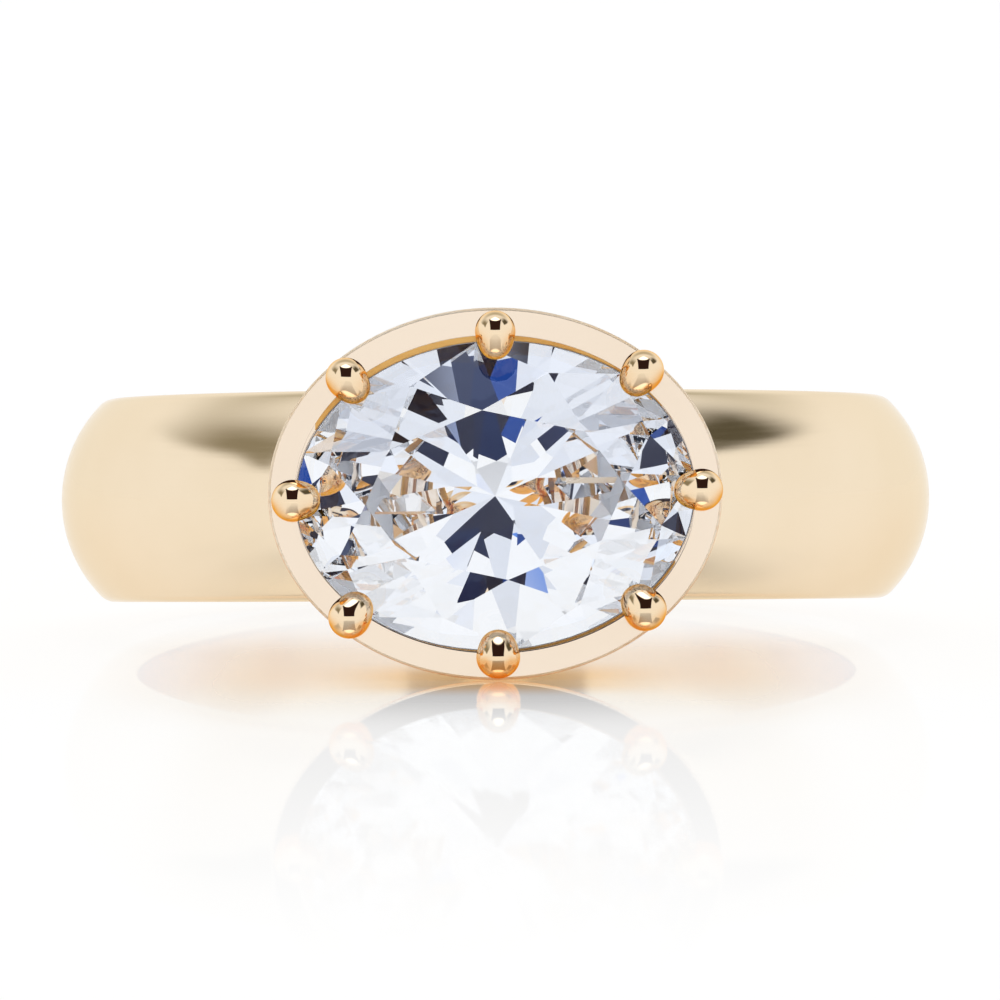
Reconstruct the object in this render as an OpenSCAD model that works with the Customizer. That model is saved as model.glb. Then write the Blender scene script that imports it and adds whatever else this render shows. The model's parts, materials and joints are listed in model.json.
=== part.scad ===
// East west ring.
// A wide domed gold band carries an oval stone set sideways, with its long side across
// the finger. The stone sits in an oval collar with a flat rim, under eight ball tipped
// prongs. Band, collar and prongs are soldered into one piece of metal.
// The ring lies on its side with the stone towards -Y, and leans back on the lower edge
// of the collar's rim and on the back of the band. Sizes are in millimetres.

/* [Band] */
// Diameter of the finger hole
bore_d = 17.3; // [15.7:0.1:19.8]
// Thickness of the band at its crest
band_t = 1.85; // [1.8:0.05:2.2]
// Width of the band along the finger
band_w = 4.9; // [4.3:0.1:5.3]
// Radius of the dome over the band's outside
dome_r = 3.3; // [3.2:0.1:4]
// Round on the band's outer edges
outer_round = 0.5; // [0.3:0.05:0.6]
// Round on the edges of the finger hole
inner_round = 0.25; // [0.1:0.05:0.3]

/* [Collar] */
// Length of the rim, across the finger
rim_l = 10.34; // [10.2:0.02:10.8]
// Width of the rim, along the finger
rim_w = 8.48; // [8.3:0.02:9]
// Length of the opening inside the rim
opening_l = 9.13; // [9.13:0.01:9.2]
// Width of the opening inside the rim
opening_w = 7.22; // [7.22:0.01:7.28]
// Width of the groove round the stone, under the rim's inner edge
groove_w = 0.1; // [0.09:0.01:0.13]
// Thickness of the rim's inner edge, over the groove
lip_t = 0.1; // [0.08:0.01:0.12]
// Height of the rim above the band's crest
rim_rise = 1.75; // [1.7:0.05:2]
// Round on the rim's outer edge
rim_round = 0.09; // [0.05:0.01:0.15]
// Size of the collar at the finger hole, as a share of its rim
collar_taper = 0.77; // [0.74:0.01:0.82]
// Size of the hole under the stone at the finger, as a share of the opening
hole_taper = 0.7; // [0.6:0.01:0.72]

/* [Stone] */
// Length of the stone
stone_l = 9.06; // [8.7:0.02:9.06]
// Width of the stone
stone_w = 7.02; // [6.7:0.02:7.02]
// Turn of the stone in its collar, in degrees
stone_turn = 2.5; // [0:0.5:4]
// Turn of the facets on the stone's outline, in degrees of its oval
facet_turn = 3.5; // [0:0.5:6]
// Distance by which the stone sits nearer to the lower prongs
stone_shift = 0.04; // [0:0.01:0.05]
// Height of the crown, from the girdle to the table
crown_h = 1.0; // [0.8:0.05:1.1]
// Width of the crown in plan, from the girdle to the table's corners
crown_w = 1.57; // [1.4:0.01:1.6]
// Thickness of the girdle
girdle_t = 0.16; // [0.12:0.01:0.2]
// Depth of the pavilion, from the girdle to the culet
pavilion_h = 3.1; // [2.8:0.05:3.15]
// Height of the star facets' points, as a share of the crown
star_level = 0.55; // [0.45:0.05:0.65]
// Depth of the lower half facets, as a share of the pavilion
lower_level = 0.78; // [0.7:0.02:0.84]
// Depth of the girdle below the rim
stone_drop = 0.25; // [0.2:0.01:0.3]

/* [Prongs] */
// Diameter of the balls
ball_d = 0.96; // [0.86:0.02:1]
// Diameter of the balls' tips, over the stone
tip_d = 0.82; // [0.74:0.02:0.84]
// Length of a ball with its tip
prong_l = 1.12; // [1.06:0.01:1.14]
// Diameter of the wires under the balls
wire_d = 0.86; // [0.76:0.02:0.88]
// Height of the ball centres above the rim
ball_rise = 0.33; // [0.32:0.01:0.4]
// Height by which a tip's centre is below its ball's
tip_drop = 0.07; // [0.04:0.01:0.1]

/* [Hidden] */
$fn = 96;

bore_r = bore_d / 2;
crest_r = bore_r + band_t;
rim_z = crest_r + rim_rise;
girdle_z = rim_z - stone_drop;
past = 1;                 // length by which a cut runs past what it cuts
arc_steps = 6;            // straight steps in a round, and in a fourth of the dome

// Middles of the prongs with their tips: across the finger, and along it.
PRONGS = [
    [4.62, 0.06], [3.33, 2.71], [0.02, 3.60], [-3.32, 2.57],
    [-4.53, -0.14], [-3.28, -2.74], [0.05, -3.65], [3.35, -2.60]
];
prong_root = 0.12;        // depth of a prong's foot below the rim

// The seat: clearance round the stone, the slope of the notch that it leaves in each
// prong, and the ledge below the girdle.
seat_gap = 0.04;
notch_slope = 42;
ledge_w = 0.37;
ledge_h = 0.3;

KITES = 8;                // main facets round the crown, and round the pavilion
half_steps = 4;           // points on the girdle from a main facet to the next half

// Centres of the rounds in the band's section.
outer_z = band_w / 2 - outer_round;
dome_c = crest_r - dome_r;
outer_c = dome_c + sqrt(pow(dome_r - outer_round, 2) - outer_z * outer_z);
dome_end = atan2(outer_z, outer_c - dome_c);
inner_z = band_w / 2 - inner_round;
inner_c = bore_r + inner_round;

// The lean at rest: the rim's lower edge and the round at the back of the band stand
// on one level.
rest_y = rim_z - rim_round + outer_c;
rest_z = rim_w / 2 - outer_z;
rest_lean = atan2(rest_z, rest_y) - asin(outer_round / norm([rest_y, rest_z]));
rest_lift = rim_w / 2 * cos(rest_lean) - (rim_z - rim_round) * sin(rest_lean);
back_y = dome_c * cos(rest_lean) + dome_r;
front_y = (rim_z + ball_rise) * cos(rest_lean)
    - ball_middle(PRONGS[6])[1] * sin(rest_lean) + ball_d / 2;
rest_shift = (front_y - back_y) / 2;

// Points along an arc round c, from angle a to angle b.
function arc(c, r, a, b, steps = arc_steps) =
    [for (i = [0:steps]) c + r * [cos(a + (b - a) * i / steps), sin(a + (b - a) * i / steps)]];

function at_height(p, z) = [p[0], p[1], z];

// Puts a shape, made with the stone's axis along +Z, at the front of the ring.
module at_front() { rotate([90, 0, 0]) children(); }

// Lays the ring down as it rests.
module at_rest() {
    translate([0, rest_shift, rest_lift]) rotate([-rest_lean, 0, 0]) children();
}

// A turned shape, stretched into an oval: its profile holds the half length.
module oval_turning(profile, length, width) {
    scale([1, width / length, 1]) rotate_extrude() polygon(profile);
}

module band() {
    rotate_extrude() polygon(concat(
        arc([inner_c, -inner_z], inner_round, -180, -90),
        arc([outer_c, -outer_z], outer_round, -90, -dome_end),
        arc([dome_c, 0], dome_r, -dome_end, dome_end, 4 * arc_steps),
        arc([outer_c, outer_z], outer_round, dome_end, 90),
        arc([inner_c, inner_z], inner_round, 90, 180)
    ));
}

// Half length of a cone that has the half length r at the rim, and share * r at the
// top of the finger hole.
function tapered(r, share, z) = r * (1 - (1 - share) * (rim_z - z) / (rim_z - bore_r));

module collar() {
    base_z = bore_r - 2 * past;
    oval_turning(concat(
        [[0, base_z], [tapered(rim_l / 2, collar_taper, base_z), base_z]],
        arc([rim_l / 2 - rim_round, rim_z - rim_round], rim_round, 0, 90, 3),
        [[0, rim_z]]
    ), rim_l, rim_w);
}

// The opening, the groove and the ledge round the stone, and the hole under it.
module collar_hollow() {
    base_z = bore_r - 3 * past;
    ledge_z = girdle_z - girdle_t;
    groove_l = opening_l / 2 + groove_w;
    oval_turning([
        [0, base_z],
        [tapered(opening_l / 2, hole_taper, base_z), base_z],
        [opening_l / 2 - ledge_w, ledge_z - ledge_h],
        [groove_l, ledge_z],
        [groove_l, rim_z - lip_t],
        [opening_l / 2, rim_z - lip_t / 2],
        [opening_l / 2, rim_z + past],
        [0, rim_z + past]
    ], opening_l, opening_w);
}

// The direction from the stone over a prong, and the middle of its ball.
function over_prong(place) =
    let (n = [place[0] / pow(opening_l, 2), place[1] / pow(opening_w, 2)]) n / norm(n);
function ball_middle(place) = place + over_prong(place) * (prong_l - ball_d) / 2;

// A ball with a smaller round tip, turned in one piece along +Z.
module tipped_ball(reach) {
    slant = asin((ball_d - tip_d) / 2 / reach);
    rotate_extrude() polygon(concat(
        arc([0, 0], ball_d / 2, -90, slant, 8),
        arc([0, reach], tip_d / 2, slant, 90)
    ));
}

// A wire with such a ball on its end, whose tip lies over the stone.
module prong(place) {
    aim = over_prong(place);
    tip_reach = prong_l - (ball_d + tip_d) / 2;
    translate(at_height(ball_middle(place), rim_z + ball_rise))
        rotate([0, 0, atan2(aim[1], aim[0])]) {
            rotate([0, -90 - atan2(tip_drop, tip_reach), 0])
                tipped_ball(norm([tip_reach, tip_drop]));
            translate([0, 0, -prong_root - ball_rise])
                cylinder(d = wire_d, h = prong_root + ball_rise);
        }
}

module prongs() { for (place = PRONGS) prong(place); }

// Places a shape, made over the stone's girdle, as the stone is set in the collar.
module as_set() {
    at_front() translate([0, -stone_shift, girdle_z]) rotate([0, 0, stone_turn]) children();
}

// Room for the stone in the prongs, with a small gap all round it.
module seat() {
    edge = stone_l / 2 + seat_gap;
    slope = 1 / tan(notch_slope);
    oval_turning([
        [0, -girdle_t - seat_gap],
        [edge, -girdle_t - seat_gap],
        [edge, seat_gap],
        [edge - crown_h * slope, seat_gap + crown_h],
        [0, seat_gap + crown_h]
    ], stone_l, stone_w);
}

module band_and_setting() {
    color("#E9C98F") at_rest() difference() {
        union() {
            difference() {
                union() {
                    band();
                    at_front() collar();
                }
                at_front() collar_hollow();
            }
            at_front() prongs();
        }
        cylinder(r = bore_r, h = 2 * rim_w, center = true);
        as_set() seat();
    }
}

// A point on the stone's outline at an angle from its first main facet, in degrees of its
// oval, and the direction square to the outline there.
function outline(a) = let (t = a + facet_turn) [stone_l * cos(t), stone_w * sin(t)] / 2;
function outward(a) =
    let (t = a + facet_turn, n = [cos(t) / stone_l, sin(t) / stone_w]) n / norm(n);

// Where the planes of a main facet and of the next one meet, in plan, when each has
// moved in from the outline: by a length, and by a share of its distance to the middle.
function meeting(k, by, share) = let (
    a = k * 360 / KITES, b = (k + 1) * 360 / KITES,
    m = outward(a), n = outward(b),
    s = (m * outline(a) - by) * (1 - share), t = (n * outline(b) - by) * (1 - share)
) [s * n[1] - t * m[1], t * m[0] - s * n[0]] / (m[0] * n[1] - m[1] * n[0]);

// Height over the plan point p of the plane through the points a, b and c.
function height_at(p, a, b, c) = let (n = cross(b - a, c - a))
    a[2] - ((p[0] - a[0]) * n[0] + (p[1] - a[1]) * n[1]) / n[2];

// One point in turn on the girdle's edge, on the half facet that spans it: the facet
// has its tip at tips[k], and its foot on the outline at height z.
function girdle_point(i, tips, z) = let (
    half = floor(i / half_steps), step = 180 / KITES, p = outline(i * step / half_steps),
    a = at_height(outline(half * step), z), b = at_height(outline((half + 1) * step), z)
) at_height(p, height_at(p, tips[floor(half / 2)], a, b));

// An oval brilliant: a table, 8 star, 8 kite and 16 upper half facets over the girdle,
// and 8 main and 16 lower half facets under it. Every facet is flat.
module stone() {
    n = 2 * half_steps * KITES;
    last = KITES - 1;
    corners = [for (k = [0:last]) let (a = k * 360 / KITES)
        at_height(outline(a) - crown_w * outward(a), crown_h)];
    stars = [for (k = [0:last])
        at_height(meeting(k, crown_w * star_level, 0), crown_h * star_level)];
    tips = [for (k = [0:last])
        at_height(meeting(k, 0, lower_level), -girdle_t - pavilion_h * lower_level)];
    culet = [0, 0, -girdle_t - pavilion_h];
    upper = [for (i = [0:n - 1]) girdle_point(i, stars, 0)];
    lower = [for (i = [0:n - 1]) girdle_point(i, tips, -girdle_t)];

    // Where each group of points starts in the solid's list
    star_0 = KITES;
    upper_0 = star_0 + KITES;
    lower_0 = upper_0 + n;
    tip_0 = lower_0 + n;
    culet_0 = tip_0 + KITES;
    faces = concat(
        [[for (k = [last:-1:0]) k]],
        [for (k = [0:last]) [star_0 + k, k, (k + 1) % KITES]],
        [for (k = [0:last])
            [k, star_0 + k, upper_0 + 2 * half_steps * k, star_0 + (k + last) % KITES]],
        [for (h = [0:2 * KITES - 1]) concat(star_0 + floor(h / 2),
            [for (i = [half_steps:-1:0]) upper_0 + (h * half_steps + i) % n])],
        [for (i = [0:n - 1]) let (j = (i + 1) % n)
            [upper_0 + i, upper_0 + j, lower_0 + j, lower_0 + i]],
        [for (h = [0:2 * KITES - 1]) concat(tip_0 + floor(h / 2),
            [for (i = [0:half_steps]) lower_0 + (h * half_steps + i) % n])],
        [for (k = [0:last])
            [culet_0, tip_0 + (k + last) % KITES, lower_0 + 2 * half_steps * k, tip_0 + k]]
    );
    color("#DCE6F5") at_rest() as_set()
        polyhedron(concat(corners, stars, upper, lower, tips, [culet]), faces);
}

band_and_setting();
stone();
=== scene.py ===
"""East west ring: a domed gold band, an oval collar with ball tipped prongs, and an oval brilliant.

Shapes are worked out in millimetres in the ring's own directions: x across the finger, y along
it, and h from the middle of the finger hole towards the stone. laid_down() puts them where the
ring lies.
"""
import json
from math import cos, pi, radians, sin, tau

import bpy
import numpy as np
from mathutils import Matrix, Quaternion, Vector


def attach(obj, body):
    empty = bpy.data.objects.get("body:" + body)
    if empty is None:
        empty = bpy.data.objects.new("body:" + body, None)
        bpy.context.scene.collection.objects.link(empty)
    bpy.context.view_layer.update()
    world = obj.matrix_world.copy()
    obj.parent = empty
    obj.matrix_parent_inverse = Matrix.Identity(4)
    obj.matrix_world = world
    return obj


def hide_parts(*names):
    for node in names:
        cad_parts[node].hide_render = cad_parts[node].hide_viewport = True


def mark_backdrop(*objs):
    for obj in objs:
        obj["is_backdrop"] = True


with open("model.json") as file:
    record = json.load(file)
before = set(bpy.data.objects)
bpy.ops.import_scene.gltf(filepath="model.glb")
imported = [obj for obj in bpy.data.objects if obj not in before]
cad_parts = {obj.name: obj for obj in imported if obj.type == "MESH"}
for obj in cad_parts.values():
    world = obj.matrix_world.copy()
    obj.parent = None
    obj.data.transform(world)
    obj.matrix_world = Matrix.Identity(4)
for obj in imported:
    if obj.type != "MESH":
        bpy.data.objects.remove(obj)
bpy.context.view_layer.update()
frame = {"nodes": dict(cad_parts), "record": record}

MM = 0.001

# The finger hole gives the ring's middle, its lean and its size.
finger_hole = frame["record"]["mounts"][0]
MIDDLE = Vector(finger_hole["pos_m"])
ALONG = Vector(finger_hole["axis"])
ACROSS = Vector((1, 0, 0))
FRONT = ACROSS.cross(ALONG)
HOLE_R = finger_hole["dims"]["r_mm"]

# Band
WALL = 1.85                     # at the crest of the dome
BAND_W = 4.9
DOME_R = 3.3
OUTER_ROUND = 0.5
INNER_ROUND = 0.25
CREST_R = HOLE_R + WALL

# Collar: half length across the finger, and half width along it
RIM = np.array([5.17, 4.24])
OPENING = np.array([4.565, 3.61])
RIM_H = CREST_R + 1.75
RIM_ROUND = 0.06
GROOVE = 0.1                    # how far the groove round the stone cuts under the rim
LIP = 0.1                       # thickness of the rim over the groove
BED_H = RIM_H - 0.2             # floor of the groove
FOOT_SHARE = 0.77               # size of the collar at the finger hole, as a share of its rim
HOLE_SHARE = 0.7                # the same for the hole under the stone, against the opening
LEDGE_W = 0.37
LEDGE_DEPTH = 0.3
SOLDER = 0.3                    # fillet between the band and the collar
SUNK = 0.12                     # how far the fillet's hidden edge lies in the collar's wall

# Stone
STONE = np.array([4.53, 3.51])
STONE_TURN = 2.5
STONE_SHIFT = 0.04              # towards the lower prongs
STONE_DROP = 0.25               # from the rim to the top of the girdle
GIRDLE = 0.16
CROWN_H = 1.0
CROWN_W = 1.57
SEAT_GAP = 0.03

# Prongs: the middle of each one with its tip, and how wide it is against the usual
PRONGS = [
    (4.62, 0.06, 1.0), (3.33, 2.71, 0.98), (0.02, 3.60, 0.96), (-3.32, 2.57, 0.97),
    (-4.53, -0.14, 1.0), (-3.28, -2.74, 1.0), (0.05, -3.65, 1.04), (3.35, -2.60, 1.02),
]
PRONG_L = 1.12
BALL_R = 0.48
TIP_R = 0.41
WIRE_R = 0.43
BALL_RISE = 0.33
TIP_DROP = 0.07
PRONG_ROOT = 0.12               # below the rim
PRONG_SHARP = 40                # degrees between faces, from which an edge of a prong is crisp


def beside_stone(gap, h, turn):
    """Points round the stone at a height: its oval is turned, and nearer the lower prongs."""
    x = (STONE[0] + gap) * np.cos(turn)
    y = (STONE[0] + gap) * STONE[1] / STONE[0] * np.sin(turn)
    swing = radians(STONE_TURN)
    return np.stack([x * cos(swing) - y * sin(swing),
                     x * sin(swing) + y * cos(swing) - STONE_SHIFT, h + 0 * x], -1)


def laid_down(points):
    """Points (x, y, h) in millimetres, where the ring lies, in metres."""
    axes = np.array([ACROSS, ALONG, FRONT])
    return np.array(MIDDLE) + np.asarray(points, float) @ axes * MM


# Meshes

def piece_from(name, points, faces, materials, face_material=None):
    """An object at the origin, smooth shaded, whose mesh holds its place."""
    mesh = bpy.data.meshes.new(name)
    mesh.from_pydata([tuple(p) for p in points], [], faces)
    for material in materials:
        mesh.materials.append(material)
    if face_material is not None:
        mesh.polygons.foreach_set("material_index", face_material)
    mesh.shade_smooth()
    mesh.update()
    piece = bpy.data.objects.new(name, mesh)
    bpy.context.scene.collection.objects.link(piece)
    return piece


def strips(rows, columns, loop_rows, loop_columns, flip=False):
    """Four sided faces between the neighbours in a grid of points."""
    faces = []
    for i in range(rows if loop_rows else rows - 1):
        for j in range(columns if loop_columns else columns - 1):
            k, m = (i + 1) % rows, (j + 1) % columns
            face = [i * columns + j, k * columns + j, k * columns + m, i * columns + m]
            faces.append(face[::-1] if flip else face)
    return faces


def arc(middle, radius, start, end, steps):
    """Points (r, y) round a middle, each with the direction that its surface faces."""
    turns = np.radians(np.linspace(start, end, steps + 1))
    facing = np.column_stack([np.cos(turns), np.sin(turns)])
    return np.hstack([np.asarray(middle) + radius * facing, facing])


def solve(func, low, high, rounds=40):
    """Where each of many rising functions passes zero, by halving."""
    low, high = np.broadcast_arrays(low, high)
    low, high = low.astype(float).copy(), high.astype(float).copy()
    for _ in range(rounds):
        middle = (low + high) / 2
        above = func(middle) > 0
        high = np.where(above, middle, high)
        low = np.where(above, low, middle)
    return (low + high) / 2


# Band

def band_section():
    """The outline of the band's section: over the dome, and back along the finger hole."""
    side = BAND_W / 2
    outer_y, inner_y = side - OUTER_ROUND, side - INNER_ROUND
    dome_c = CREST_R - DOME_R
    outer_c = dome_c + ((DOME_R - OUTER_ROUND) ** 2 - outer_y ** 2) ** 0.5
    edge = np.degrees(np.arctan2(outer_y, outer_c - dome_c))
    inner_c = HOLE_R + INNER_ROUND
    half_way = (outer_c + inner_c) / 2
    outside = np.vstack([
        [[half_way, -side, 0, -1]],
        arc((outer_c, -outer_y), OUTER_ROUND, -90, -edge, 8),
        arc((dome_c, 0), DOME_R, -edge, edge, 28)[1:-1],
        arc((outer_c, outer_y), OUTER_ROUND, edge, 90, 8),
        [[half_way, side, 0, 1]],
    ])
    rounds = 7
    bore = np.linspace(inner_y, -inner_y, len(outside) - 2 - 2 * rounds)
    inside = np.vstack([
        arc((inner_c, inner_y), INNER_ROUND, 90, 180, rounds)[:-1],
        np.column_stack([np.full_like(bore, HOLE_R), bore, -np.ones_like(bore), 0 * bore]),
        arc((inner_c, -inner_y), INNER_ROUND, 180, 270, rounds)[1:],
    ])
    return outside, inside


def collar_share(h):
    """The collar's size at a height, as a share of its rim."""
    return 1 - (1 - FOOT_SHARE) * (RIM_H - h) / (RIM_H - HOLE_R)


def make_band(gold):
    """The hoop, from one side of the collar round the back to the other, with solder fillets."""
    outside, inside = band_section()
    r, y, face_r, face_y = np.vstack([outside, inside]).T

    def on_band(angle):
        return np.stack([r * np.sin(angle), y + 0 * angle, r * np.cos(angle)], -1)

    def past_collar(angle):
        x, _, h = on_band(angle).T
        return (x / RIM[0]) ** 2 + (y / RIM[1]) ** 2 - collar_share(h) ** 2

    meets = solve(past_collar, 0.0, 1.3 + 0 * r)
    corner = on_band(meets)
    out_of_wall = np.stack([
        corner[:, 0] / RIM[0] ** 2, corner[:, 1] / RIM[1] ** 2,
        -collar_share(corner[:, 2]) * (1 - FOOT_SHARE) / (RIM_H - HOLE_R)], -1)
    out_of_wall /= np.linalg.norm(out_of_wall, axis=1, keepdims=True)
    out_of_band = np.stack([face_r * np.sin(meets), face_y, face_r * np.cos(meets)], -1)
    up_wall = out_of_band - (out_of_band * out_of_wall).sum(1, keepdims=True) * out_of_wall
    up_wall /= np.linalg.norm(up_wall, axis=1, keepdims=True)

    # The fillet runs out where the band and the collar's foot are flush, in the finger hole.
    # Its upper edge starts just inside the wall, and a hidden edge behind it closes the seam.
    just_inside = 0.004
    fillet = SOLDER * np.maximum(1 - np.maximum(-face_r, 0), 0.03)
    leaves = meets + fillet / r
    top = corner + fillet[:, None] * up_wall - just_inside * out_of_wall
    rings = [top - SUNK * out_of_wall]
    for t in np.linspace(0, 1, 9)[:-1]:
        rings.append((1 - t) ** 2 * top + 2 * t * (1 - t) * corner + t * t * on_band(leaves))
    for t in np.linspace(0, 1, 91):
        rings.append(on_band(leaves + (pi - leaves) * t))
    rings += [ring * (-1, 1, 1) for ring in rings[-2::-1]]

    points = np.concatenate(rings)
    count, size, half = len(rings), len(r), len(outside) - 1
    faces = strips(count, size, False, True)
    last = (count - 1) * size
    for i in range(half):
        a, b = (size - i) % size, size - i - 1
        faces.append([i, i + 1, b, a] if a != i else [i, i + 1, b])
        faces.append([last + k for k in faces[-1]][::-1])
    faces = [f for f in faces if len(set(f)) > 2]
    return piece_from("band", laid_down(points), faces, [gold])


# Collar

# Its finishes, in the order of its material slots
WALLS, EASED_EDGE, FLAT_RIM, INSIDE, SEAT = range(5)


def make_collar(finishes):
    """The oval setting: its outer wall, flat rim, opening, ledge and the hole under the stone.

    It is drawn as rows of points, each an oval round the collar. Rows that lie 0.03 mm or less
    from an edge keep that edge crisp under smooth shading.
    """
    turn = np.linspace(0, tau, 240, endpoint=False)
    rows, finish_from = [], {}

    def row(half, h):
        """One oval round the collar, whose half sizes and height may vary on the way."""
        half = np.asarray(half, float)
        x = half[..., 0] * np.cos(turn)
        rows.append(np.stack([x, half[..., 1] * np.sin(turn), h + 0 * x], -1))

    def foot(half_at):
        """The height at which a wall meets the finger hole, all the way round."""
        return solve(lambda h: (half_at(h)[..., 0] * np.cos(turn)) ** 2 + h * h - HOLE_R ** 2,
                     4.0, HOLE_R + 0 * turn)

    def outer_at(h):
        return np.multiply.outer(collar_share(h), RIM)

    ledge_h = RIM_H - STONE_DROP - GIRDLE
    under_ledge = ledge_h - LEDGE_DEPTH
    low_h = HOLE_R - 3          # lower than the foot, where the hole's sloping wall is drawn to
    low_share = 1 - (1 - HOLE_SHARE) * (RIM_H - low_h) / (RIM_H - HOLE_R)
    long_half = (OPENING[0] - LEDGE_W, OPENING[0] * low_share)

    def inner_at(h):
        share = (long_half[0] + (long_half[1] - long_half[0]) *
                 (under_ledge - h) / (under_ledge - low_h)) / OPENING[0]
        return np.multiply.outer(share, OPENING)

    # Outer wall, from the finger hole up, then the rim
    bottom, neck = foot(outer_at), RIM_H - RIM_ROUND
    for t in np.linspace(0, 1, 12):
        h = bottom + (neck - bottom) * t
        row(outer_at(h), h)
    finish_from[len(rows) - 1] = EASED_EDGE
    for a in np.linspace(0, 90, 7)[1:]:
        sunk = RIM_ROUND * (1 - cos(radians(a)))
        row(RIM - sunk, neck + RIM_ROUND * sin(radians(a)))
    finish_from[len(rows) - 1] = FLAT_RIM
    row(RIM - RIM_ROUND - 0.02, RIM_H)
    row(OPENING + 0.03, RIM_H)
    row(OPENING + 0.006, RIM_H)
    # Groove, bed cut to the stone, ledge, and the hole down to the finger hole
    # From here the groove takes the seat's orange, a painted reflection of gold in gold
    finish_from[len(rows)] = SEAT
    groove = OPENING * (1 + GROOVE / OPENING[0])
    row(OPENING, RIM_H - 0.006)
    row(OPENING, RIM_H - LIP / 2)
    row(groove, RIM_H - LIP)
    groove_wall = len(rows)
    row(groove, RIM_H - LIP - 0.02)
    row(groove, BED_H + 0.02)
    row(groove - 0.02, BED_H)
    rows.append(beside_stone(SEAT_GAP + 0.02, BED_H, turn))
    rows.append(beside_stone(SEAT_GAP, BED_H - 0.02, turn))
    # From here down the collar's inside takes the painted white that stands in for light
    finish_from[len(rows)] = INSIDE
    rows.append(beside_stone(SEAT_GAP, ledge_h - LEDGE_DEPTH / 2, turn))
    row(inner_at(under_ledge) + 0.02, under_ledge + 0.015)
    row(inner_at(under_ledge), under_ledge)
    row(inner_at(under_ledge - 0.03), under_ledge - 0.03)
    inner_bottom = foot(inner_at)
    for t in np.linspace(0, 1, 9)[1:-1]:
        h = under_ledge + (inner_bottom - under_ledge) * t
        row(inner_at(h), h)
    # Foot, on the wall of the finger hole, with its inner edge eased
    ease = 0.06
    row(inner_at(inner_bottom + ease), inner_bottom + ease)
    finish_from[len(rows)] = WALLS
    inner_end, outer_end = inner_at(inner_bottom), outer_at(bottom)
    for t in (0.1, 0.3, 0.65):
        half = inner_end + (outer_end - inner_end) * t
        row(half, np.sqrt(HOLE_R ** 2 - (half[:, 0] * np.cos(turn)) ** 2))

    points = np.concatenate(rows)
    faces = strips(len(rows), len(turn), True, True, flip=True)
    # At the stone's two ends the groove is as pale as the rim, without the seat's painted orange
    # reflection, so the stone shows no orange there.
    at_ends = abs(np.sin(turn)) < 0.5
    finish, current = [], WALLS
    for i in range(len(rows)):
        current = finish_from.get(i, current)
        in_groove = current == SEAT and i >= groove_wall
        finish += [FLAT_RIM if in_groove and at_end else current for at_end in at_ends]
    return piece_from("collar", laid_down(points), faces, finishes, finish)


# Prongs

def smooth_union(a, b, blend):
    """The distance to two shapes that melt into each other."""
    near = np.maximum(blend - abs(a - b), 0) / blend
    return np.minimum(a, b) - near * near * blend / 4


def prong_distance(p):
    """Distance from the metal of one prong: u away from the stone, v along the rim, w up."""
    u, v, w = p.T
    ball_u, tip_u = PRONG_L / 2 - BALL_R, TIP_R - PRONG_L / 2
    ball = np.sqrt((u - ball_u) ** 2 + v ** 2 + (w - BALL_RISE) ** 2) - BALL_R
    tip = np.sqrt((u - tip_u) ** 2 + v ** 2 + (w - BALL_RISE + TIP_DROP) ** 2) - TIP_R
    solder = 0.05
    flare = solder * np.exp(-np.maximum(w, 0) / solder)
    wire = np.hypot(u - ball_u, v) - WIRE_R - flare
    wire = np.maximum(wire, np.maximum(w - BALL_RISE, -w - PRONG_ROOT))
    tip_blend, wire_blend = 0.1, 0.04
    return smooth_union(smooth_union(ball, tip, tip_blend), wire, wire_blend)


def make_prong_pattern():
    """One prong round the middle of its place on the rim, as the shape that the others repeat."""
    around, down = 48, 36
    middle = np.array([0, 0, 0.25])         # a point in the metal that sees all of its surface
    a = np.linspace(0, tau, around, endpoint=False)
    b = np.linspace(0, pi, down + 1)[1:-1]
    aim = np.stack(np.broadcast_arrays(
        np.sin(b)[:, None] * np.cos(a), np.sin(b)[:, None] * np.sin(a), np.cos(b)[:, None]), -1)
    aim = np.vstack([aim.reshape(-1, 3), [[0, 0, 1], [0, 0, -1]]])
    reach = solve(lambda d: prong_distance(middle + aim * d[:, None]), 0.0, np.full(len(aim), 1.2))
    points = (middle + aim * reach[:, None]) * MM
    rows, top, bottom = len(b), len(points) - 2, len(points) - 1
    faces = strips(rows, around, False, True)
    for j in range(around):
        k = (j + 1) % around
        faces.append([top, j, k])
        faces.append([bottom, (rows - 1) * around + k, (rows - 1) * around + j])
    return piece_from("prong_pattern", points, faces, [])


def make_seat_cutter():
    """The room for the stone with a small gap round it, which the prongs are notched by."""
    turn = np.linspace(0, tau, 160, endpoint=False)
    girdle_h = RIM_H - STONE_DROP
    under = girdle_h - GIRDLE - LEDGE_DEPTH
    over = girdle_h + SEAT_GAP * 0.6
    points = [beside_stone(gap, h, turn) for gap, h in (
        (SEAT_GAP, under), (SEAT_GAP, over), (SEAT_GAP - CROWN_W, over + CROWN_H))]
    faces = strips(3, len(turn), False, True, flip=True)
    faces.append(list(range(len(turn)))[::-1])
    faces.append([2 * len(turn) + k for k in range(len(turn))])
    return piece_from("seat_cutter", laid_down(np.concatenate(points)), faces, [])


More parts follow.
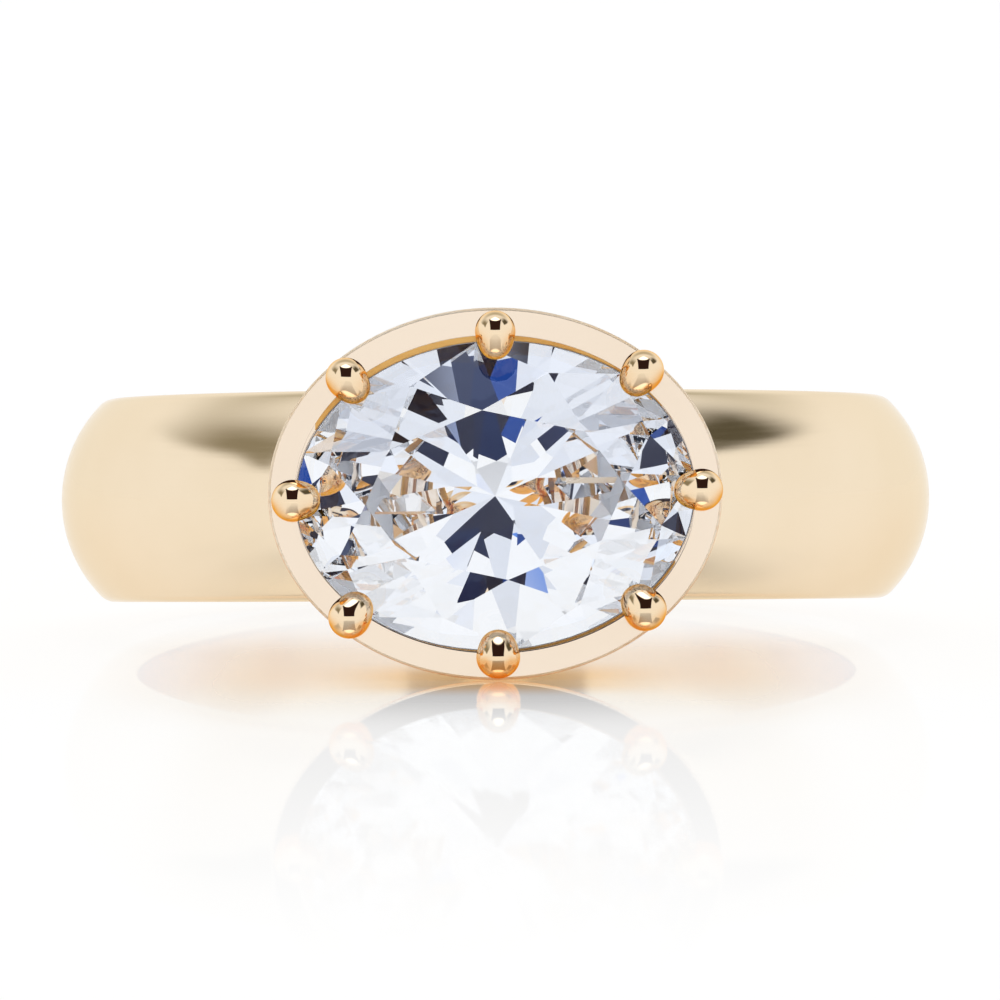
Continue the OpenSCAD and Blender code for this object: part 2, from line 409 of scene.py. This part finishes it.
def prong_tree():
    """Geometry Nodes that set one prong at every point, turned away from the stone."""
    tree = bpy.data.node_groups.new("set prongs", "GeometryNodeTree")
    face = tree.interface
    face.new_socket("Geometry", in_out="INPUT", socket_type="NodeSocketGeometry")
    face.new_socket("Prong", in_out="INPUT", socket_type="NodeSocketObject")
    face.new_socket("Size", in_out="INPUT", socket_type="NodeSocketFloat").default_value = 1
    face.new_socket("Gold", in_out="INPUT", socket_type="NodeSocketMaterial")
    face.new_socket("Geometry", in_out="OUTPUT", socket_type="NodeSocketGeometry")

    def node(kind, settings=None, inputs=None):
        new = tree.nodes.new(kind)
        for key, value in (settings or {}).items():
            setattr(new, key, value)
        for key, value in (inputs or {}).items():
            if isinstance(value, bpy.types.NodeSocket):
                tree.links.new(value, new.inputs[key])
            else:
                new.inputs[key].default_value = value
        return new

    entry = node("NodeGroupInput").outputs
    prong = node("GeometryNodeObjectInfo", inputs={"Object": entry["Prong"]})
    turn = node("GeometryNodeInputNamedAttribute", {"data_type": "FLOAT_VECTOR"},
                {"Name": "turn"})
    swell = node("GeometryNodeInputNamedAttribute", {"data_type": "FLOAT_VECTOR"},
                 {"Name": "swell"})
    size = node("ShaderNodeVectorMath", {"operation": "SCALE"},
                {0: swell.outputs["Attribute"], "Scale": entry["Size"]})
    spin = node("FunctionNodeEulerToRotation", inputs={0: turn.outputs["Attribute"]})
    copies = node("GeometryNodeInstanceOnPoints", inputs={
        "Points": entry["Geometry"], "Instance": prong.outputs["Geometry"],
        "Rotation": spin.outputs[0], "Scale": size.outputs[0]})
    solid = node("GeometryNodeRealizeInstances", inputs={0: copies.outputs[0]})
    golden = node("GeometryNodeSetMaterial",
                  inputs={0: solid.outputs[0], "Material": entry["Gold"]})
    node("NodeGroupOutput", inputs={0: golden.outputs[0]})
    return tree


def set_inputs(modifier, values):
    """Sets a Geometry Nodes modifier's inputs, by the names that they have in its tree."""
    for item in modifier.node_group.interface.items_tree:
        if item.in_out == "INPUT" and item.name in values:
            modifier[item.identifier] = values[item.name]


def applied(piece, name):
    """A plain mesh object of what a piece's modifiers make of it, which takes its place."""
    graph = bpy.context.evaluated_depsgraph_get()
    mesh = bpy.data.meshes.new_from_object(piece.evaluated_get(graph), depsgraph=graph)
    bpy.data.objects.remove(piece)
    result = bpy.data.objects.new(name, mesh)
    bpy.context.scene.collection.objects.link(result)
    return result


def make_prongs(gold):
    """The eight ball tipped prongs on the rim, notched round the stone."""
    places = np.array([(x, y, RIM_H) for x, y, _ in PRONGS])
    points = piece_from("prong_places", laid_down(places), [], [])
    turn = points.data.attributes.new("turn", "FLOAT_VECTOR", "POINT")
    swell = points.data.attributes.new("swell", "FLOAT_VECTOR", "POINT")
    for i, (x, y, wide) in enumerate(PRONGS):
        away = ACROSS * float(x / OPENING[0] ** 2) + ALONG * float(y / OPENING[1] ** 2)
        away.normalize()
        turned = Matrix((away, FRONT.cross(away), FRONT)).transposed()
        turn.data[i].vector = turned.to_euler()
        swell.data[i].vector = (1, wide, 1)
    pattern = make_prong_pattern()
    setting = points.modifiers.new("set prongs", "NODES")
    setting.node_group = prong_tree()
    set_inputs(setting, {"Prong": pattern, "Gold": gold})
    raw = applied(points, "prongs_whole")
    cutter = make_seat_cutter()
    notch = raw.modifiers.new("seat", "BOOLEAN")
    notch.operation, notch.solver, notch.object = "DIFFERENCE", "EXACT", cutter
    prongs = applied(raw, "prongs")
    for helper in (pattern, cutter):
        bpy.data.objects.remove(helper)
    prongs.data.materials.clear()
    prongs.data.materials.append(gold)
    prongs.data.polygons.foreach_set("material_index", [0] * len(prongs.data.polygons))
    prongs.data.shade_smooth()
    prongs.data.set_sharp_from_angle(angle=radians(PRONG_SHARP))
    return prongs


# Finishes

# Gold mirrored in gold, painted as a deep orange into parts that face down, sideways or the stone
PAINTED_GOLD_REFLECTION = (0.84, 0.40, 0.08)
EDGE_GOLD = (0.95, 0.90, 0.80)          # tint of what gold mirrors at a glancing angle
LOWEST_PRONG = (-0.0036, -0.0029)       # it lies below the ring's middle by this much, in metres, and its sides take a painted gold reflection


class Number:
    """A number in a shader. Arithmetic on it adds Math nodes."""

    def __init__(self, shader, socket):
        self.shader, self.socket = shader, socket

    def __add__(self, other): return self.shader.maths("ADD", self, other)
    def __radd__(self, other): return self.shader.maths("ADD", other, self)
    def __sub__(self, other): return self.shader.maths("SUBTRACT", self, other)
    def __rsub__(self, other): return self.shader.maths("SUBTRACT", other, self)
    def __mul__(self, other): return self.shader.maths("MULTIPLY", self, other)
    def __rmul__(self, other): return self.shader.maths("MULTIPLY", other, self)
    def __abs__(self): return self.shader.maths("ABSOLUTE", self)

    def ramp(self, low, high, first=0.0, last=1.0):
        """Runs smoothly from first to last as the number goes from low to high."""
        return self.shader.add("ShaderNodeMapRange", {"interpolation_type": "SMOOTHSTEP"}, {
            "Value": self, "From Min": low, "From Max": high,
            "To Min": first, "To Max": last}).number()


class Made:
    """A node that was added, with its outputs by name."""

    def __init__(self, shader, node):
        self.shader, self.node = shader, node

    def __getitem__(self, name):
        return next(s for s in self.node.outputs if s.enabled and name in (s.name, s.identifier))

    def number(self, name=None):
        shown = next(s for s in self.node.outputs if s.enabled)
        return Number(self.shader, self[name] if name else shown)


class Shader:
    """The nodes of a material or of the world, which starts empty."""

    def __init__(self, owner):
        owner.use_nodes = True
        self.tree = owner.node_tree
        self.tree.nodes.clear()

    def add(self, kind, settings=None, inputs=None):
        """Adds a node of a type, with its settings first and then its sockets' values or links."""
        node = self.tree.nodes.new(kind)
        for key, value in (settings or {}).items():
            setattr(node, key, value)
        for key, value in (inputs or {}).items():
            socket = node.inputs[key] if isinstance(key, int) else next(
                s for s in node.inputs if s.enabled and key in (s.name, s.identifier))
            if isinstance(value, Number):
                value = value.socket
            if isinstance(value, bpy.types.NodeSocket):
                self.tree.links.new(value, socket)
            elif hasattr(socket.default_value, "__len__") and not hasattr(value, "__len__"):
                socket.default_value = [value] * len(socket.default_value)
            elif hasattr(value, "__len__") and len(socket.default_value) == 4:
                socket.default_value = (*value[:3], 1)
            else:
                socket.default_value = value
        return Made(self, node)

    def maths(self, operation, *values):
        inputs = dict(enumerate(values))
        return self.add("ShaderNodeMath", {"operation": operation}, inputs).number()

    def along(self, vector, direction):
        """How far a vector reaches in a direction."""
        return self.add("ShaderNodeVectorMath", {"operation": "DOT_PRODUCT"},
                        {0: vector, 1: direction}).number("Value")

    def mix(self, factor, a, b):
        """One colour over another."""
        return self.add("ShaderNodeMix", {"data_type": "RGBA"},
                        {"Factor": factor, "A": a, "B": b})["Result"]

    def split(self, vector):
        """The three numbers of a vector."""
        parts = self.add("ShaderNodeSeparateXYZ", None, {0: vector})
        return [parts.number(axis) for axis in "XYZ"]

    def join(self, x, y, z):
        return self.add("ShaderNodeCombineXYZ", None, {"X": x, "Y": y, "Z": z})["Vector"]

    def noise(self, vector, scale, detail=2.0, roughness=0.5):
        return self.add("ShaderNodeTexNoise", None, {
            "Vector": vector, "Scale": scale, "Detail": detail,
            "Roughness": roughness}).number("Fac")

    def place(self):
        return self.add("ShaderNodeTexCoord")["Object"]


def gold_finish(name, colour, warm, roughness, buffed, glow=0.0, reach=0.9, inner=0.0,
                edge=EDGE_GOLD):
    """Yellow gold: buffing lines round the ring, a faint cloudiness, and a painted reflection of
    gold that deepens the tone below.

    Warm is the colour of its clouds, and buffed the depth of its lines in thousandths of a
    millimetre. Parts that face down and sideways would mirror only more gold, and that is painted
    into their colour as a deeper tone, a painted reflection: glow is how much, and reach how far
    towards the front. Inner is the same painted reflection for parts that face the stone, and for
    the sides of the lowest prong.
    """
    material = bpy.data.materials.new(name)
    shader = Shader(material)
    x, y, z = shader.split(shader.place())
    back = y - MIDDLE.y
    round_ring = shader.maths("ARCTAN2", x, back * -1)
    from_middle = shader.maths("POWER", x * x + back * back, 0.5)
    fine = 9000                 # lines and grains to the metre
    buffing = shader.noise(shader.join(round_ring * 3, from_middle * fine, z * fine), 1.0, 3.0)
    cloud = shader.noise(shader.place(), 260, 3.0)
    grain = shader.noise(shader.place(), fine, 1.0)
    facing = shader.add("ShaderNodeNewGeometry")["Normal"]
    front, up, across = (shader.along(facing, way) for way in (FRONT, ALONG, ACROSS))
    # Painted reflection: parts that face down and sideways take a deeper tone
    below = front.ramp(0.3, reach, 1, 0) * up.ramp(-0.4, 0.25, 1, 0) * glow
    # Inner paints the same reflection on parts that face the stone and on the lowest prong's sides
    if inner:
        high = shader.along(shader.place(), ALONG) - MIDDLE.dot(ALONG)
        inwards = (up * high + across * x) * shader.maths("POWER", x * x + high * high, -0.5) * -1
        beside = inwards.ramp(0.25, 0.6) * front.ramp(0.35, 0.7, 1, 0)
        lowest = high.ramp(*LOWEST_PRONG, 0.9, 0) * front.ramp(0.8, 1.0, 1, 0.2) * up.ramp(
            -0.1, 0.2, 1, 0)
        below = shader.maths("MAXIMUM", below, shader.maths("MAXIMUM", beside, lowest) * inner)
    tone = shader.mix(cloud.ramp(0.35, 0.7), colour, warm)
    tone = shader.mix(below, tone, PAINTED_GOLD_REFLECTION)
    rough = cloud.ramp(0.3, 0.75, roughness * 0.8, roughness * 1.25) + buffing.ramp(
        0.45, 0.7, 0, roughness * 0.3)
    lines = shader.add("ShaderNodeBump", None, {
        "Strength": 0.35, "Distance": buffed * 1e-6,
        "Height": (buffing + grain * 0.4).socket})["Normal"]
    metal = shader.add("ShaderNodeBsdfPrincipled", None, {
        "Base Color": tone, "Metallic": 1.0, "Roughness": rough, "Normal": lines,
        "Specular Tint": edge})
    shader.add("ShaderNodeOutputMaterial", None, {"Surface": metal["BSDF"]})
    return material


def painted_white_inside():
    """Dull white painted inside the collar, where it shows through the stone: it stands in for the
    white light that the gold there would mirror.
    """
    material = bpy.data.materials.new("white gold inside")
    shader = Shader(material)
    cloud = shader.noise(shader.place(), 300, 3.0)
    tone = shader.mix(cloud.ramp(0.35, 0.7), (0.96, 0.97, 0.99), (0.92, 0.94, 0.97))
    white = shader.add("ShaderNodeBsdfPrincipled", None, {
        "Base Color": tone, "Metallic": 0.0, "Roughness": cloud.ramp(0.3, 0.75, 0.36, 0.44)})
    shader.add("ShaderNodeOutputMaterial", None, {"Surface": white["BSDF"]})
    return material


def stone_finish():
    """Clear, hard and polished: light bends strongly in it, with the faintest cool cloud."""
    material = bpy.data.materials.new("clear stone")
    shader = Shader(material)
    cloud = shader.noise(shader.place(), 500, 3.0)
    tint = shader.mix(cloud.ramp(0.35, 0.7), (0.92, 0.94, 0.975), (0.90, 0.925, 0.965))
    glass = shader.add("ShaderNodeBsdfPrincipled", None, {
        "Base Color": tint, "Roughness": 0.0, "IOR": 1.85, "Transmission Weight": 1.0,
        "Specular Tint": (0.22, 0.27, 0.42)})
    shader.add("ShaderNodeOutputMaterial", None, {"Surface": glass["BSDF"]})
    return material


# Studio

def make_floor():
    """A wide white glossy table, whose faint mirror image fades towards the camera.

    Where the collar touches it, the table's glow is painted with some of the gold's colour, a
    painted reflection of the gold.
    """
    size = 2.5
    points = [(-size, -size, 0), (size, -size, 0), (size, size, 0), (-size, size, 0)]
    material = bpy.data.materials.new("white table")
    shader = Shader(material)
    x, y, _ = shader.split(shader.place())
    touch = MIDDLE.y + (FRONT.y * RIM_H - ALONG.y * float(RIM[1])) * MM
    aside = abs(x)
    # How much the table mirrors: faintly before and beside the ring, and more by the collar
    faint = y.ramp(-0.065, -0.012) * y.ramp(touch, touch + 0.012, 1, 0.4) * y.ramp(
        0.02, 0.1, 1, 0) * aside.ramp(0.0055, 0.0075, 0.17, 0.05)
    strong = y.ramp(touch - 0.012, touch, 0, 0.35) * y.ramp(
        touch + 0.006, touch + 0.016, 1, 0) * aside.ramp(0.005, 0.010, 1, 0)
    # Painted reflection: the glow turns towards the gold's orange round where the collar touches
    painted_gold_bleed = aside.ramp(0.001, 0.0045, 0.75, 0) * y.ramp(touch - 0.004, touch - 0.001) * y.ramp(
        touch + 0.001, touch + 0.005, 1, 0)
    dust = shader.noise(shader.place(), 900, 2.0)
    paper = shader.add("ShaderNodeBsdfDiffuse", None, {"Color": (0.2, 0.2, 0.2)})
    glow = shader.add("ShaderNodeEmission", None, {
        "Color": shader.mix(painted_gold_bleed, (1, 1, 1), (0.93, 0.50, 0.10)), "Strength": 0.86})
    white = shader.add("ShaderNodeAddShader", None, {0: paper["BSDF"], 1: glow["Emission"]})
    # From where the collar touches and away from the camera, the mirror is tinted warm, painting
    # warmth into the ring's reflection
    cool, warm = (shader.add("ShaderNodeBsdfGlossy", None, {
        "Color": tint, "Roughness": dust.ramp(0.3, 0.7, 0.02, 0.035)})["BSDF"]
        for tint in ((0.93, 0.97, 1.0), (1.0, 0.92, 0.78)))
    gloss = shader.add("ShaderNodeMixShader", None, {
        "Fac": y.ramp(touch - 0.006, touch + 0.002), 1: cool, 2: warm})
    mixed = shader.add("ShaderNodeMixShader", None, {
        "Fac": faint + strong, 1: white["Shader"], 2: gloss["Shader"]})
    shader.add("ShaderNodeOutputMaterial", None, {"Surface": mixed["Shader"]})
    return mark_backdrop(piece_from("table", points, [[0, 1, 2, 3]], [material]))


STAND_ASIDE = 0.10               # bearing of the stand that the stone shows, in radians
STAND_HALF = (0.41, 0.43)        # where that stand ends on either side, from its own middle
FRINGE_END = (0.435, 0.455)      # and where the blue fringe along it ends
STAND_FOOT = (0.075, 0.09)       # its lower end, as the height of a direction
LAMP_FROM = (0.80, 0.84)         # the lamp overhead begins there, and the stand ends
MIRRORED_DEPTH = 3.5             # rays that bounced more often don't see the room's stand
IN_COLLAR_DEPTH = 3.5            # rays from the collar's inside met more of the stone's faces


def room_light(shader, x, y, z, light):
    """What the gold and the table see: a lamp above, cream walls with gaps, and the stand."""
    bearing = abs(shader.maths("ARCTAN2", x, y * -1))
    lamp = z.ramp(*LAMP_FROM) * bearing.ramp(0.9, 1.3, 1, 0)
    room = shader.mix(lamp, (1.0, 1.0, 1.0), (2.2, 2.2, 2.2))
    room = shader.mix(z.ramp(0.5, 0.9) * y.ramp(0.1, 0.5), room, (0.5, 0.48, 0.4))
    # The gaps beside the tent give the band its olive shades. They reach lower on the left.
    right = x.ramp(-0.1, 0.1)
    left = 1 - right
    gaps = bearing.ramp(1.05, 1.2) * (
        left * bearing.ramp(1.5, 2.4, 1, 0) + right * bearing.ramp(1.65, 2.15, 1, 0))
    from_z = left * bearing.ramp(1.1, 1.45, 0.34, 0.47) + right * 0.53
    gaps = gaps * (z - from_z).ramp(-0.05, 0.05) * (
        left * z.ramp(0.60, 0.87, 1, 0.1) + right * z.ramp(0.72, 0.93, 1, 0.15))
    room = shader.mix(gaps, room, shader.mix(right, (0.27, 0.245, 0.175), (0.10, 0.09, 0.06)))
    # The stand shows as a dark mark on every bead, but not in what the table mirrors.
    stand = abs(x).ramp(0.47, 0.50, 1, 0) * y.ramp(-0.15, -0.10, 1, 0) * z.ramp(
        0.19, 0.21) * z.ramp(0.88, 0.93, 1, 0)
    direct = shader.maths("LESS_THAN", light["Ray Depth"], MIRRORED_DEPTH)
    return shader.mix(stand * direct, room, (0.030, 0.014, 0.012))


def stone_light(shader, toward, x, y, z, light):
    """What the stone gathers: the room in a mottled cooler white, and a fringed dark stand."""
    turned = shader.maths("ARCTAN2", x, y * -1)
    bearing = abs(turned)
    mottled = shader.noise(toward, 2.6, 2.0)
    cool = shader.mix(mottled.ramp(0.35, 0.65), (0.76, 0.79, 0.86), (0.90, 0.93, 1.0))
    gaps = bearing.ramp(1.0, 1.2) * bearing.ramp(1.75, 2.1, 1, 0) * z.ramp(0.3, 0.5)
    cool = shader.mix(gaps, cool, (0.55, 0.58, 0.66))
    cool = shader.mix(z.ramp(*LAMP_FROM), cool, shader.mix(
        y.ramp(-0.1, 0.5), (0.91, 0.97, 1.08), (0.5, 0.52, 0.58)))
    # The stand is narrower at its upper end. A fringe runs up its sides, and one along its foot.
    aside = abs(turned - STAND_ASIDE) + z.ramp(0.4, 0.5, 0, 0.2)
    width = aside.ramp(*STAND_HALF, 1, 0)
    height = z.ramp(*STAND_FOOT) * z.ramp(*LAMP_FROM, 1, 0)
    blue = aside.ramp(*STAND_HALF) * aside.ramp(*FRINGE_END, 1, 0) * height * z.ramp(
        0.35, 0.4, 1, 0)
    cool = shader.mix(blue, cool, (0.12, 0.28, 0.80))
    orange = width * z.ramp(0.07, 0.075) * z.ramp(*STAND_FOOT, 1, 0)
    cool = shader.mix(orange, cool, (1.0, 0.82, 0.62))
    dark = shader.mix(z.ramp(0.1, 0.25), (0.006, 0.012, 0.055), (0.020, 0.015, 0.020))
    blue_side = turned.ramp(-0.3, -0.05, 1, 0) * z.ramp(0.15, 0.25, 1, 0)
    dark = shader.mix(blue_side, dark, (0.02, 0.08, 0.40))
    cool = shader.mix(width * height, cool, dark)
    # The collar's white inside gets more light than rays find on their way through the stone.
    in_collar = shader.maths("GREATER_THAN", light["Diffuse Depth"], 0.5) * shader.maths(
        "GREATER_THAN", light["Transmission Depth"], IN_COLLAR_DEPTH)
    return shader.mix(in_collar, cool, (2.2, 2.25, 2.35))


def light_studio():
    """Soft light from all round: bright above, pale walls, and a dark stand over the camera.

    The stone gathers light of its own, with a blue and an orange fringe along the stand, which
    stand in for the colours that a real one spreads. The camera itself sees plain white.
    """
    world = bpy.data.worlds.new("studio")
    bpy.context.scene.world = world
    shader = Shader(world)
    toward = shader.add("ShaderNodeTexCoord")["Generated"]
    light = shader.add("ShaderNodeLightPath")
    x, y, z = shader.split(toward)
    room = room_light(shader, x, y, z, light)
    cool = stone_light(shader, toward, x, y, z, light)
    through_stone = shader.maths("GREATER_THAN", light["Transmission Depth"], 0.5)
    lit = shader.mix(through_stone, room, cool)
    colour = shader.mix(light["Is Camera Ray"], lit, (1, 1, 1))
    sky = shader.add("ShaderNodeBackground", None, {"Color": colour, "Strength": 1.0})
    shader.add("ShaderNodeOutputWorld", None, {"Surface": sky["Background"]})


def set_camera():
    """The photograph's view: from in front and a little above, through a long lens."""
    elevation, roll = radians(4.25), radians(0.3)
    distance, field = 0.200, 0.02424       # field: width of the view at the ring's middle
    picture_w, sensor_w = 1000, 36         # in pixels, and in millimetres
    look = Vector((0, cos(elevation), -sin(elevation)))
    right = Vector((1, 0, 0))
    up = right.cross(look)
    off_right, off_up = 4.5, -1.3          # from the ring's middle to the picture's, in pixels
    aim = MIDDLE + (off_right * right + off_up * up) * field / picture_w
    camera = bpy.data.objects.new("camera", bpy.data.cameras.new("camera"))
    bpy.context.scene.collection.objects.link(camera)
    camera.location = aim - look * distance
    turned = look.to_track_quat("-Z", "Y")
    camera.rotation_mode = "QUATERNION"
    camera.rotation_quaternion = Quaternion(look, roll) @ turned
    camera.data.sensor_width = sensor_w
    camera.data.lens = sensor_w * distance / field
    camera.data.clip_start, camera.data.clip_end = 0.01, 20
    bpy.context.scene.camera = camera


def set_render():
    """Enough bounces for light to find its way out of the stone, and colours as they are."""
    scene = bpy.context.scene
    bounces = 24
    for kind in ("max_bounces", "glossy_bounces", "transmission_bounces"):
        setattr(scene.cycles, kind, bounces)
    scene.view_settings.view_transform = "Standard"


# Copies of one gold, tuned to how light falls on each part: the flat rim and its eased edge are
# paler, painted light, and the collar's walls deeper, a painted reflection of gold
polished = gold_finish("polished gold", (0.90, 0.76, 0.57), (0.88, 0.735, 0.54),
                       roughness=0.12, buffed=1.5, glow=0.08)
flat_gold = gold_finish("flat gold", (0.92, 0.785, 0.64), (0.905, 0.765, 0.615),
                        roughness=0.08, buffed=0.3)
eased_gold = gold_finish("eased gold", (0.99, 0.89, 0.75), (0.97, 0.87, 0.72),
                         roughness=0.8, buffed=0.3, glow=0.6)
bright_gold = gold_finish("bright gold", (0.93, 0.75, 0.53), (0.91, 0.72, 0.49),
                          roughness=0.04, buffed=0.3, glow=1.0, reach=1.02, inner=0.6,
                          edge=(0.96, 0.70, 0.40))
# The seat's deep orange is a painted reflection of gold in the shaded groove
seat_gold_painted_orange = gold_finish("gold of the seat", (1.0, 0.60, 0.20), (0.97, 0.56, 0.17),
                        roughness=0.5, buffed=0.8)
wall_gold = gold_finish("collar gold", (0.90, 0.70, 0.42), (0.88, 0.66, 0.38),
                        roughness=0.09, buffed=0.8, glow=0.9)
collar_finishes = [wall_gold, eased_gold, flat_gold, painted_white_inside(), seat_gold_painted_orange]

set_camera()
set_render()
light_studio()
make_floor()
for piece in (make_band(polished), make_collar(collar_finishes), make_prongs(bright_gold)):
    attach(piece, "root")
    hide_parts("band_and_setting")
stone = frame["nodes"]["stone"]
stone.data.materials.clear()
stone.data.materials.append(stone_finish())
